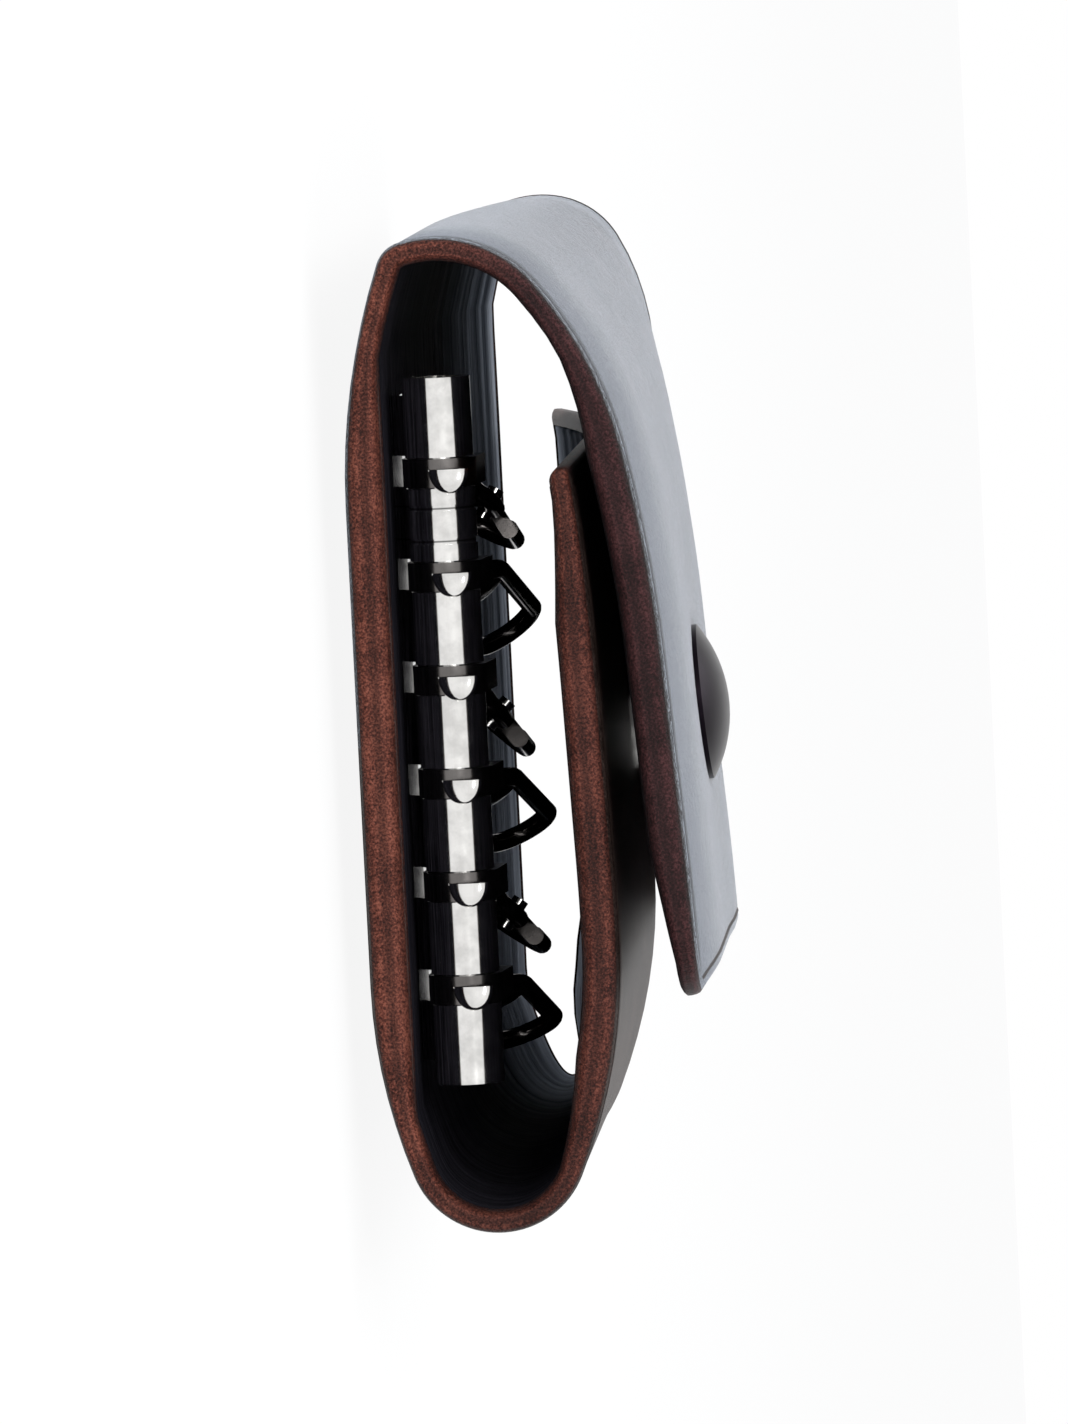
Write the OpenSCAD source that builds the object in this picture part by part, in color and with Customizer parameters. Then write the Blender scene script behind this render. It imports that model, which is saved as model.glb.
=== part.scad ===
// Six-hook leather key case, lying on its back.
// X runs from the top fold (-X) to the bottom fold (+X), Y along the case, Z up through its thickness.

/* [Leather] */
// Length of the case, from open end to open end
case_length = 105; // [80:1:130]
// Thickness of the outer leather
cover_t = 1; // [0.8:0.1:1.2]
// Thickness of the lining
lining_t = 0.7; // [0.5:0.1:0.9]
// Thickness of the stiffener in the back panel
back_board_t = 1.2; // [0.8:0.1:1.4]
// Thickness of the stiffener in the flap and the front panel
front_board_t = 1; // [0.6:0.1:1.2]
// Width of leather turned in along the two open ends
side_hem = 1.2; // [0.8:0.1:3]
// Width of leather turned in along the free edges of the flap and the front panel
edge_hem = 3; // [2:0.5:5]
// Corner radius of the flap's free edge
flap_corner_r = 7; // [4:0.5:12]

/* [Folds] */
// Length of the flap past the press stud
flap_end_length = 12.5; // [10:0.5:15]
// Length of the flap between the press stud and the shoulder
flap_reach_length = 16.5; // [12:0.5:20]
// Outer radius of the shoulder where the top fold runs into the flap
shoulder_r = 31; // [28:0.5:36]
// Outer radius of the tight corner between the back panel and the crown
corner_r = 2.5; // [2:0.25:3]
// Outer radius of the back panel's rise to the top fold
back_top_r = 54; // [52:0.5:60]
// Length of the back panel's flat middle
back_flat_length = 37; // [36.5:0.5:42]
// Outer radius of the back panel's rise to the bottom fold
back_foot_r = 43; // [41:0.5:50]
// Outer radius of the bottom fold
bottom_r = 6.9; // [6.7:0.1:8]
// Outer radius of the front panel's run out of the bottom fold
front_rise_r = 43; // [40:0.5:46]
// Length of the front panel between the bottom fold and the press stud
front_foot_length = 6.5; // [5:0.5:9]
// Length of the front panel between the press stud and its free edge
front_end_length = 16.5; // [13:0.5:18]

/* [Key row] */
// Spacing of the hooks
hook_pitch = 8; // [7.8:0.1:9]
// Width of the gap between two knuckles
knuckle_gap = 2.4; // [2:0.1:3]
// Length of the two end knuckles
end_knuckle_length = 6.15; // [5:0.05:8]
// Outer diameter of the rolled knuckles
knuckle_d = 5.3; // [5.2:0.1:5.6]
// Thickness of the row's sheet metal
sheet_t = 0.8; // [0.6:0.1:0.85]
// Height of the axle over the lining
axle_rise = 3.9; // [3.9:0.1:4.4]
// Distance of the axle from the near open end
axle_inset = 9; // [7:0.5:14]
// Distance from the axle to the plate's far edge
plate_reach = 9; // [8.5:0.5:14]
// Head diameter of the plate's rivets
rivet_head_d = 3.6; // [3:0.1:4]

/* [Hooks] */
// Thickness of the strap that wraps the axle
strap_t = 1; // [0.8:0.05:1]
// Reach of the strap's end wall from the axle
eye_reach = 5.2; // [4.8:0.1:6]
// Diameter of the swivel rivet
swivel_d = 1.2; // [1:0.1:1.4]
// Diameter of the collar that the swivel rivet turns
collar_d = 3.4; // [3:0.1:3.8]
// Length of the collar
collar_length = 2.2; // [1.8:0.1:3]
// Thickness of the hook's plate
hook_t = 1.5; // [1.4:0.1:1.8]
// Width of the hook's loop
hook_w = 7; // [6.6:0.1:7.2]
// Length of the loop from the collar to the hook's tip
loop_length = 22; // [20:0.5:24]
// Width of the steel round the loop
loop_wall = 1.5; // [1.3:0.1:1.6]
// Thickness of the leaf gate
gate_t = 0.5; // [0.4:0.05:0.6]

/* [Press stud] */
// Gap between the flap's lining and the front panel at the stud, which sets how high the top fold stands
snap_gap = 2.7; // [2.6:0.1:3.3]
// Length of the flat land pressed round the stud
snap_land = 14; // [13:0.5:16]
// Diameter of the domed cap
cap_d = 12.5; // [11:0.5:13]
// Height of the domed cap
cap_h = 2.5; // [2:0.1:3]
// Diameter of the socket
socket_d = 10.6; // [9.6:0.1:11]
// Height of the socket
socket_h = 1.7; // [1.5:0.1:1.8]
// Diameter of the stud's base
stud_base_d = 9.6; // [8.6:0.1:10]
// Diameter of the stud's head
stud_d = 3.6; // [3:0.1:3.8]

/* [Hidden] */
$fn = 48;

// Overrun of every cut past the solid it cuts
cut = 1;
// Gap left in the leather at each fold line
fold_gap = 0.3;
leather = [0.38, 0.19, 0.15];
lining_black = [0.08, 0.08, 0.09];
board_grey = [0.55, 0.5, 0.42];
nickel = [0.75, 0.75, 0.73];
gunmetal = [0.22, 0.22, 0.24];

// The strip's bends, in the order met from the flap's free edge: degrees turned along each stretch
flap_end_turn = 2;
flap_reach_turn = 8;
shoulder_turn = 27;
crown_turn = 65;
corner_turn = 56;
back_top_turn = 20;
back_foot_turn = 20;
bottom_turn = 136;
front_rise_turn = 24;
front_foot_turn = 2;
front_end_turn = 5;

function arc_length(r, turn) = r * turn * PI / 180;

// Each stretch of the strip's outer face as [length, degrees turned], for a top fold with this crown radius
function stretches(crown_r) = [
    [flap_end_length, flap_end_turn],
    [snap_land, 0],
    [flap_reach_length, flap_reach_turn],
    [arc_length(shoulder_r, shoulder_turn), shoulder_turn],
    [arc_length(crown_r, crown_turn), crown_turn],
    [arc_length(corner_r, corner_turn), corner_turn],
    [arc_length(back_top_r, back_top_turn), back_top_turn],
    [back_flat_length, 0],
    [arc_length(back_foot_r, back_foot_turn), back_foot_turn],
    [arc_length(bottom_r, bottom_turn), bottom_turn],
    [arc_length(front_rise_r, front_rise_turn), front_rise_turn],
    [front_foot_length, front_foot_turn],
    [snap_land, 0],
    [front_end_length, front_end_turn]
];
flap_land = 1;
shoulder = 3;
crown = 4;
corner = 5;
back_top = 6;
back_flat = 7;
bottom = 9;
front_rise = 10;
front_land = 12;

// Where a walk of this length and turn ends, from point p with heading h
function walk(p, h, length, turn) =
    turn == 0
    ? p + length * [cos(h), sin(h)]
    : let (r = length / (turn * PI / 180))
      p + r * [sin(h + turn) - sin(h), cos(h) - cos(h + turn)];

// The start of each stretch and the strip's end, as [distance along the strip, point, heading]
function stations(list, i, s, p, h) =
    i == len(list)
    ? [[s, p, h]]
    : concat(
        [[s, p, h]],
        stations(list, i + 1, s + list[i][0], walk(p, h, list[i][0], list[i][1]), h + list[i][1])
    );
first_heading = -flap_end_turn - flap_reach_turn - shoulder_turn - crown_turn - corner_turn - back_top_turn;
function strip(crown_r) = stations(stretches(crown_r), 0, 0, [0, 0], first_heading);

// Thickness of the whole leather in a fold, in the back panel, and in the flap and the front panel
fold_t = cover_t + lining_t;
back_t = cover_t + back_board_t + lining_t;
flap_t = cover_t + front_board_t + lining_t;

// How far the front panel's land lies under the middle of the flap's land, square to the front panel
function land_drop(crown_r) =
    let (
        places = strip(crown_r),
        from = walk(places[flap_land][1], places[flap_land][2], snap_land / 2, 0),
        to = places[front_land]
    )
    (to[1] - from) * [-sin(to[2]), cos(to[2])];

// The drop grows evenly with the crown's radius, so two tries give the radius that leaves the stud its gap
land_tilt = strip(0)[front_land][2] - strip(0)[flap_land][2];
drop_wanted = (snap_gap + flap_t) * cos(land_tilt);
crown_r = (drop_wanted - land_drop(0)) / (land_drop(1) - land_drop(0));
STRETCHES = stretches(crown_r);
STATIONS = strip(crown_r);

function start_of(i) = STATIONS[i][0];
function stretch_at(s) = max([for (i = [0 : len(STRETCHES) - 1]) if (start_of(i) <= s || i == 0) i]);

// A point on the strip's outer face, before the strip is put in place, and the heading there
function raw_point(s) =
    let (i = stretch_at(s), part = (s - start_of(i)) / STRETCHES[i][0])
    walk(STATIONS[i][1], STATIONS[i][2], part * STRETCHES[i][0], part * STRETCHES[i][1]);
function heading(s) =
    let (i = stretch_at(s), part = (s - start_of(i)) / STRETCHES[i][0])
    STATIONS[i][2] + part * STRETCHES[i][1];

// The two places where the strip stands upright, at the two ends of the case's height
top_s = start_of(crown) + arc_length(crown_r, -90 - STATIONS[crown][2]);
bottom_s = start_of(bottom) + arc_length(bottom_r, 90 - STATIONS[bottom][2]);
strip_origin = [
    (raw_point(top_s)[0] + raw_point(bottom_s)[0]) / 2,
    STATIONS[back_flat][1][1]
];

function point(s) = raw_point(s) - strip_origin;
function inward(s) = [-sin(heading(s)), cos(heading(s))];
function sunk(s, depth) = point(s) + depth * inward(s);

// Fold lines, where one body of the case ends and the next begins
corner_s = start_of(corner) + arc_length(corner_r, corner_turn / 2);
shoulder_s = start_of(shoulder + 1);
strip_end = start_of(len(STRETCHES));

// The back panel's inner faces lie flat, so the board thins out as the cover rises towards the folds
function back_depth(s, level) = (level - point(s)[1]) / cos(heading(s));
// Headings past this one belong to the folds
steep_heading = 60;
// The flap's and the front panel's boards are pared down to nothing over this length at both ends
paring = 9;
function pared(s, from, to) = max(0, min(1, (s - from) / paring, (to - s) / paring));
flap_board_from = edge_hem;
flap_board_to = start_of(shoulder) + paring;
front_board_from = start_of(front_rise);
front_board_to = strip_end - edge_hem;

// Depth of the board's inner face below the strip's outer face, and of the lining's
function board_depth(s) =
    s < shoulder_s
    ? cover_t + front_board_t * pared(s, flap_board_from, flap_board_to)
    : s < bottom_s
    ? (abs(heading(s)) < steep_heading ? max(cover_t, back_depth(s, cover_t + back_board_t)) : cover_t)
    : cover_t + front_board_t * pared(s, front_board_from, front_board_to);
function lining_depth(s) =
    s > corner_s && s < bottom_s && abs(heading(s)) < steep_heading
    ? max(fold_t, back_depth(s, back_t))
    : board_depth(s) + lining_t;

// Distances along the strip at which its outlines have points
most_turn = 7;
flat_step = 2.5;
function steps(i) = max(1, ceil(STRETCHES[i][1] / most_turn), ceil(STRETCHES[i][0] / flat_step));
marks = [
    for (i = [0 : len(STRETCHES) - 1], k = [0 : steps(i) - 1])
        start_of(i) + STRETCHES[i][0] * k / steps(i)
];
min_step = 0.2;
function marks_between(from, to) = concat(
    [from],
    [for (s = marks) if (s > from + min_step && s < to - min_step) s],
    [to]
);
function reversed(list) = [for (i = [len(list) - 1 : -1 : 0]) list[i]];

// An outline in the XZ plane, drawn out along Y about the case's middle
module along_y(length) {
    translate([0, length / 2, 0])
        rotate([90, 0, 0])
            linear_extrude(length)
                children();
}

// A half round over the leather's thickness at a free edge; side is 1 at the strip's end and -1 at its start
edge_r = fold_t / 2;
edge_step = 30;
function along(s) = [cos(heading(s)), sin(heading(s))];
function rounded_edge(s, side) = [
    for (a = [edge_step : edge_step : 180 - edge_step])
        sunk(s, edge_r) + edge_r * side * (sin(a) * along(s) - cos(a) * inward(s))
];

// The full section of the leather from one distance along the strip to another, with free edges rounded
module leather_section(from, to) {
    distances = marks_between(from, to);
    polygon(concat(
        [for (s = distances) point(s)],
        to == strip_end ? rounded_edge(to, 1) : [],
        [for (s = reversed(distances)) sunk(s, lining_depth(s))],
        from == 0 ? rounded_edge(from, -1) : []
    ));
}

// The room inside the outer leather, open on its inner side
pocket_overrun = 0.25;
module pocket_section(from, to) {
    distances = marks_between(from, to);
    polygon(concat(
        [for (s = distances) sunk(s, cover_t)],
        [for (s = reversed(distances)) sunk(s, lining_depth(s) + pocket_overrun)]
    ));
}

module lining_section(from, to) {
    distances = marks_between(from, to);
    polygon(concat(
        [for (s = distances) sunk(s, board_depth(s))],
        [for (s = reversed(distances)) sunk(s, lining_depth(s))]
    ));
}

module board_section(from, to) {
    distances = marks_between(from, to);
    polygon(concat(
        [for (s = distances) sunk(s, cover_t)],
        [for (s = reversed(distances)) sunk(s, board_depth(s))]
    ));
}

inner_length = case_length - 2 * side_hem;
half_gap = fold_gap / 2;

// The outer leather of one body: a shallow tray with a rim turned in along both open ends
module cover(from, to, pocket_from, pocket_to) {
    difference() {
        along_y(case_length)
            leather_section(from, to);
        along_y(inner_length)
            pocket_section(pocket_from, pocket_to);
    }
}

module back_cover() {
    color(leather)
        cover(corner_s + half_gap, bottom_s - half_gap, corner_s, bottom_s);
}

module back_board() {
    from = start_of(back_top) + arc_length(back_top_r, back_top_turn / 2);
    to = start_of(back_flat + 1) + arc_length(back_foot_r, back_foot_turn / 2);
    color(board_grey)
        difference() {
            along_y(inner_length)
                board_section(from, to);
            rivet_holes(rivet_d);
            washer_seats();
        }
}

module back_lining() {
    color(lining_black)
        difference() {
            along_y(inner_length)
                lining_section(corner_s + half_gap, bottom_s - half_gap);
            rivet_holes(rivet_d);
        }
}

module spine_cover() {
    color(leather)
        cover(shoulder_s + half_gap, corner_s - half_gap, shoulder_s, corner_s);
}

module spine_lining() {
    color(lining_black)
        along_y(inner_length)
            lining_section(shoulder_s + half_gap, corner_s - half_gap);
}

// What is kept of the flap seen from above, this far inside its edges: its two free corners are round
module flap_plan(inset) {
    free_x = point(0)[0] + edge_r;
    half = case_length / 2;
    r = flap_corner_r;
    linear_extrude(case_length)
        difference() {
            translate([-half, inset - half])
                square([half + free_x, case_length - 2 * inset]);
            for (side = [-1, 1])
                translate([free_x - r, side * (half - r)])
                    difference() {
                        translate([0, side > 0 ? 0 : -r - cut])
                            square(r + cut);
                        circle(r - inset);
                    }
        }
}

module flap_cover() {
    color(leather)
        difference() {
            intersection() {
                along_y(case_length)
                    leather_section(0, shoulder_s - half_gap);
                flap_plan(0);
            }
            intersection() {
                along_y(inner_length)
                    pocket_section(edge_hem, shoulder_s);
                flap_plan(side_hem);
            }
            flap_post_hole();
        }
}

module flap_board() {
    color(board_grey)
        difference() {
            intersection() {
                along_y(inner_length)
                    board_section(flap_board_from, flap_board_to);
                flap_plan(side_hem);
            }
            flap_post_hole();
        }
}

module flap_lining() {
    color(lining_black)
        difference() {
            intersection() {
                along_y(inner_length)
                    lining_section(edge_hem, shoulder_s - half_gap);
                flap_plan(side_hem);
            }
            flap_post_hole();
        }
}

module front_cover() {
    color(leather)
        difference() {
            cover(bottom_s + half_gap, strip_end, bottom_s, strip_end - edge_hem);
            front_post_hole();
        }
}

module front_board() {
    color(board_grey)
        difference() {
            along_y(inner_length)
                board_section(front_board_from, front_board_to);
            front_post_hole();
        }
}

module front_lining() {
    color(lining_black)
        difference() {
            along_y(inner_length)
                lining_section(bottom_s + half_gap, strip_end - edge_hem);
            front_post_hole();
        }
}

// Key row
hook_count = 6;
axle_y = -case_length / 2 + axle_inset;
axle_z = back_t + axle_rise;
knuckle_r = knuckle_d / 2;
knuckle_bore_r = knuckle_r - sheet_t;
axle_fit = 0.05;
axle_r = knuckle_bore_r - axle_fit;
row_length = (hook_count - 1) * hook_pitch + knuckle_gap + 2 * end_knuckle_length;
rivet_d = 2;
rivet_head_h = 0.7;
rivet_inset = 6;
washer_d = 4;
washer_t = 0.5;
// The rivets' washers lie on the back panel's flat, this far inside its ends
washer_margin = 0.5;
rivet_x = (back_flat_length - washer_d) / 2 - washer_margin;
plate_corner_r = 1.5;
// How far the plate's flat part stays back from the ends of the knuckles
plate_end_inset = 1.5;
// Where the sheet steps up from the flat plate to the knuckles, measured from the axle
step_foot = 4.1;
step_top = 2.5;
// How far the axle stays back inside the end knuckles
axle_recess = 0.4;
// Two crimp rings pressed into the second knuckle hold the axle
crimp_w = 0.45;
crimp_depth = 0.12;
crimp_spacing = 2.6;

// Hooks are numbered from 1, at the top fold
function hook_x(i) = (i - (hook_count + 1) / 2) * hook_pitch;

// Things placed from the middle of the axle
module at_axle() {
    translate([0, axle_y, axle_z])
        children();
}

// An outline with its first direction along Y and its second along Z, drawn out along X
module along_x(length) {
    rotate([90, 0, 90])
        translate([0, 0, -length / 2])
            linear_extrude(length)
                children();
}

module row_plate() {
    under = -axle_rise;
    top = -knuckle_r;
    color(nickel)
        at_axle()
            difference() {
                along_x(row_length)
                    difference() {
                        union() {
                            circle(knuckle_r);
                            polygon([
                                [0, top],
                                [step_top, top],
                                [step_foot, under],
                                [plate_reach, under],
                                [plate_reach, under + sheet_t],
                                [step_foot, under + sheet_t],
                                [step_top, top + sheet_t],
                                [0, top + sheet_t]
                            ]);
                        }
                        circle(knuckle_bore_r);
                    }
                // the seven knuckles are parted for the hooks' eyes
                for (i = [1 : hook_count])
                    translate([hook_x(i) - knuckle_gap / 2, -knuckle_r - cut, under - cut])
                        cube([knuckle_gap, knuckle_r + cut + step_foot, axle_rise + knuckle_r + 2 * cut]);
                plate_ends();
                for (side = [-1, 1])
                    translate([side * rivet_x, rivet_inset, under - cut])
                        cylinder(d = rivet_d, h = sheet_t + 2 * cut);
                for (side = [-1, 1])
                    translate([hook_x(2) - hook_pitch / 2 + side * crimp_spacing / 2, 0, 0])
                        rotate([0, 90, 0])
                            difference() {
                                cylinder(r = knuckle_r + cut, h = crimp_w, center = true);
                                cylinder(r = knuckle_r - crimp_depth, h = crimp_w + cut, center = true);
                            }
            }
}

// What is cut from the plate beside the end knuckles, leaving its two far corners round
module plate_ends() {
    r = plate_corner_r;
    side_x = row_length / 2 - plate_end_inset;
    for (side = [-1, 1])
        translate([0, 0, -axle_rise - cut])
            linear_extrude(axle_rise + 2 * cut)
                difference() {
                    translate([side > 0 ? side_x - r : -side_x - cut - plate_end_inset, knuckle_r])
                        square([r + cut + plate_end_inset, plate_reach]);
                    translate([side > 0 ? 0 : -side_x, 0])
                        square([side_x, plate_reach - r]);
                    translate([side * (side_x - r), plate_reach - r])
                        circle(r);
                }
}

module row_axle() {
    color(nickel)
        at_axle()
            rotate([0, 90, 0])
                cylinder(r = axle_r, h = row_length - 2 * axle_recess, center = true);
}

module rivet_holes(d) {
    for (side = [-1, 1])
        translate([side * rivet_x, axle_y + rivet_inset, cover_t - cut / 2])
            cylinder(d = d, h = back_t);
}

module washer_seats() {
    for (side = [-1, 1])
        translate([side * rivet_x, axle_y + rivet_inset, cover_t - cut])
            cylinder(d = washer_d, h = washer_t + cut);
}

// A domed rivet head on the plate, and a shank down to the washer on the cover's inner face
module row_rivets() {
    head_r = rivet_head_d / 2;
    dome_r = (head_r * head_r + rivet_head_h * rivet_head_h) / (2 * rivet_head_h);
    seat = back_t + sheet_t;
    color(nickel)
        for (side = [-1, 1])
            translate([side * rivet_x, axle_y + rivet_inset, 0])
                union() {
                    translate([0, 0, cover_t])
                        cylinder(d = rivet_d, h = seat - cover_t + rivet_head_h / 2);
                    translate([0, 0, seat])
                        rotate_extrude()
                            intersection() {
                                translate([0, rivet_head_h - dome_r])
                                    circle(dome_r);
                                square([head_r, rivet_head_h]);
                            }
                }
}

module row_washers() {
    color(nickel)
        for (side = [-1, 1])
            translate([side * rivet_x, axle_y + rivet_inset, cover_t])
                difference() {
                    cylinder(d = washer_d, h = washer_t);
                    translate([0, 0, -cut])
                        cylinder(d = rivet_d, h = washer_t + 2 * cut);
                }
}

// Press stud
post_d = 3;
cap_rim_h = 0.6;
socket_bore_d = 5.8;
socket_floor_t = 0.4;
socket_ring_t = 0.9;
spring_wire_d = 0.35;
spring_d = socket_bore_d - spring_wire_d;
spring_split = 1.2;
stud_base_t = 0.5;
// The stud's head is its equator's belt of a ball, on a thinner neck, and stops short of the socket's floor
stud_head_h = stud_d / 4;
stud_neck_inset = 0.3;
stud_end_gap = 0.3;
stud_rise = snap_gap - socket_floor_t - stud_base_t - stud_head_h - stud_end_gap;
eyelet_d = 7;
eyelet_t = 0.5;

flap_snap_s = start_of(flap_land) + snap_land / 2;
flap_snap = point(flap_snap_s);
flap_axis = inward(flap_snap_s);

// Where the cap's axis meets the front panel's flat land
front_base = point(start_of(front_land));
front_axis = inward(start_of(front_land));
front_along = [front_axis[1], -front_axis[0]];
front_offset = (flap_snap - front_base) * front_along
    + (flap_axis * front_along) * ((front_base - flap_snap) * front_axis) / (flap_axis * front_axis);
front_snap = front_base + front_offset * front_along;

// Things drawn pointing up from a point of the strip's outer face, with Z into the leather
module into_leather(place, axis) {
    translate([place[0], 0, place[1]])
        rotate([0, atan2(axis[0], axis[1]), 0])
            children();
}

module flap_post_hole() {
    into_leather(flap_snap, flap_axis)
        translate([0, 0, -cut])
            cylinder(d = post_d, h = flap_t + 2 * cut);
}

module front_post_hole() {
    into_leather(front_snap, front_axis)
        translate([0, 0, -cut])
            cylinder(d = post_d, h = flap_t + 2 * cut);
}

// A domed cap with a short upright rim, and its post through the flap
module snap_cap() {
    r = cap_d / 2;
    rise = cap_h - cap_rim_h;
    dome_r = (r * r + rise * rise) / (2 * rise);
    color(gunmetal)
        into_leather(flap_snap, flap_axis)
            union() {
                cylinder(d = post_d, h = flap_t + socket_floor_t);
                rotate([180, 0, 0])
                    rotate_extrude()
                        intersection() {
                            translate([0, cap_h - dome_r])
                                circle(dome_r, $fn = 96);
                            square([r, cap_h]);
                        }
            }
}

// A round-edged disc with a raised ring that the stud's head enters
module snap_socket() {
    rim_r = socket_h / 3;
    color(nickel)
        into_leather(flap_snap, flap_axis)
            translate([0, 0, flap_t])
                rotate_extrude()
                    difference() {
                        union() {
                            square([socket_d / 2 - rim_r, 2 * rim_r]);
                            translate([socket_d / 2 - rim_r, rim_r])
                                circle(rim_r);
                            square([socket_bore_d / 2 + socket_ring_t, socket_h]);
                        }
                        square([post_d / 2, socket_h]);
                        translate([0, socket_floor_t])
                            square([socket_bore_d / 2, socket_h]);
                    }
}

// A split ring of spring wire lying in the socket
module snap_spring() {
    color(nickel)
        into_leather(flap_snap, flap_axis)
            translate([0, 0, flap_t + socket_floor_t + spring_wire_d / 2])
                difference() {
                    rotate_extrude()
                        translate([spring_d / 2, 0])
                            circle(d = spring_wire_d, $fn = 24);
                    translate([0, -spring_split / 2, -spring_wire_d])
                        cube([spring_d, spring_split, 2 * spring_wire_d]);
                }
}

// A flanged stud, hollow from behind for the eyelet that holds it
module snap_stud() {
    color(nickel)
        into_leather(front_snap, front_axis)
            rotate([180, 0, 0])
                union() {
                    translate([0, 0, -flap_t])
                        cylinder(d = post_d, h = flap_t + stud_base_t);
                    cylinder(d = stud_base_d, h = stud_base_t);
                    cylinder(d = stud_d - 2 * stud_neck_inset, h = stud_base_t + stud_rise);
                    translate([0, 0, stud_base_t + stud_rise])
                        rotate_extrude()
                            intersection() {
                                circle(d = stud_d);
                                translate([0, -stud_head_h])
                                    square([stud_d / 2, 2 * stud_head_h]);
                            }
                }
}

// The flange that is clinched on the stud's post, inside the front panel
module snap_eyelet() {
    color(nickel)
        into_leather(front_snap, front_axis)
            translate([0, 0, flap_t])
                rotate_extrude()
                    difference() {
                        union() {
                            square([eyelet_d / 2 - eyelet_t, eyelet_t]);
                            intersection() {
                                translate([eyelet_d / 2 - eyelet_t, 0])
                                    circle(eyelet_t);
                                square([eyelet_d, eyelet_t]);
                            }
                        }
                        translate([-cut, -cut])
                            square([cut + post_d / 4, eyelet_t + 2 * cut]);
                    }
}

// Hooks
strap_fit = 0.08;
eye_bore_r = axle_r + strap_fit;
eye_r = eye_bore_r + strap_t;
eye_side_fit = 0.1;
eye_w = knuckle_gap - 2 * eye_side_fit;
swivel_head_d = 2;
swivel_head_t = 0.6;
// The rivet sits loose in the strap, which lets the hook lean
swivel_fit = 0.16;
swivel_end_play = 0.27;
collar_gap = 0.3;
// How each hook lies in the case, in degrees: its tip lifted off the lining, leaning to the bottom fold,
// and the hook turned on its swivel
rest_lifts = [4, 6.5, 5, 7, 5.5, 6];
rest_leans = [11, 12, 12, 11.5, 12, 12.5];
rest_turns = [-42, 28, -16, 36, -30, 52];
shoulder_length = 4.5;
gate_pin_d = 0.9;
gate_pin_fit = 0.03;
gate_eye_d = 2;
gate_eye_t = 0.7;
gate_slot_t = 0.8;
gate_slot_length = 2.6;
gate_fit = 0.1;
gate_pin_head_d = 1.5;
gate_pin_head_t = 0.2;
nose_length = 3.6;

collar_from = eye_reach + collar_gap;
loop_from = collar_from + collar_length;
hook_end = loop_from + loop_length;
loop_r = hook_w / 2;
loop_mid_r = loop_r - loop_wall / 2;
loop_bore_r = loop_r - loop_wall;
loop_straight_from = loop_from + shoulder_length;
loop_straight_to = hook_end - loop_r;
gate_pin_y = loop_straight_from + gate_eye_d / 2;
gate_pin_x = loop_r - gate_eye_d / 2;
nose_from = loop_straight_to - nose_length;

// Things drawn along a hook's eye, from its point on the axle
module on_eye(i) {
    translate([hook_x(i), axle_y, axle_z])
        rotate([rest_lifts[i - 1], 0, 0])
            children();
}

// Things drawn along a hook, leaning and turned in the hole of its eye
module on_hook(i) {
    lean_y = eye_reach - strap_t / 2;
    on_eye(i)
        translate([0, lean_y, 0])
            rotate([0, 0, -rest_leans[i - 1]])
                rotate([0, rest_turns[i - 1], 0])
                    translate([0, -lean_y, 0])
                        children();
}

// A strap bent round the axle, closed by a flat end wall that carries the swivel rivet
module eye(i) {
    color(gunmetal)
        on_eye(i)
            difference() {
                along_x(eye_w)
                    difference() {
                        union() {
                            circle(eye_r);
                            translate([0, -eye_r])
                                square([eye_reach, 2 * eye_r]);
                        }
                        circle(eye_bore_r);
                        translate([0, -eye_bore_r])
                            square([eye_reach - strap_t, 2 * eye_bore_r]);
                    }
                translate([0, eye_reach - strap_t - cut, 0])
                    rotate([-90, 0, 0])
                        cylinder(d = swivel_d + 2 * swivel_fit, h = strap_t + 2 * cut);
            }
}

module swivel(i) {
    head_from = eye_reach - strap_t - swivel_end_play - swivel_head_t;
    color(nickel)
        on_hook(i)
            rotate([-90, 0, 0])
                union() {
                    translate([0, 0, head_from])
                        cylinder(d = swivel_head_d, h = swivel_head_t);
                    translate([0, 0, head_from])
                        cylinder(d = swivel_d, h = loop_from - head_from);
                }
}

// Half the width of the hook's shoulders, which swell from the collar like a leaf, at a share of their length
shoulder_share_step = 0.125;
function shoulder_x(share) =
    (loop_r + collar_d / 2) / 2 - (loop_r - collar_d / 2) / 2 * cos(180 * share);
function shoulder_edge(side) = [
    for (share = [0 : shoulder_share_step : 1])
        [side * shoulder_x(share), loop_from + share * shoulder_length]
];

// The hook seen flat: leaf-shaped shoulders, then a long round-ended loop
module hook_outline() {
    difference() {
        union() {
            translate([0, loop_straight_to])
                circle(loop_r);
            translate([-loop_r, loop_straight_from])
                square([hook_w, loop_straight_to - loop_straight_from]);
            polygon(concat(shoulder_edge(1), reversed(shoulder_edge(-1))));
        }
        translate([0, loop_straight_to])
            circle(loop_bore_r);
        translate([-loop_bore_r, loop_straight_from + loop_bore_r])
            square([2 * loop_bore_r, loop_straight_to - loop_straight_from - loop_bore_r]);
        translate([0, loop_straight_from + loop_bore_r])
            circle(loop_bore_r);
        // the mouth on one side, between the gate's root and the nose
        translate([loop_bore_r - cut / 2, loop_straight_from + gate_eye_d])
            square([loop_wall + cut, nose_from - loop_straight_from - gate_eye_d]);
    }
}

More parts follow.
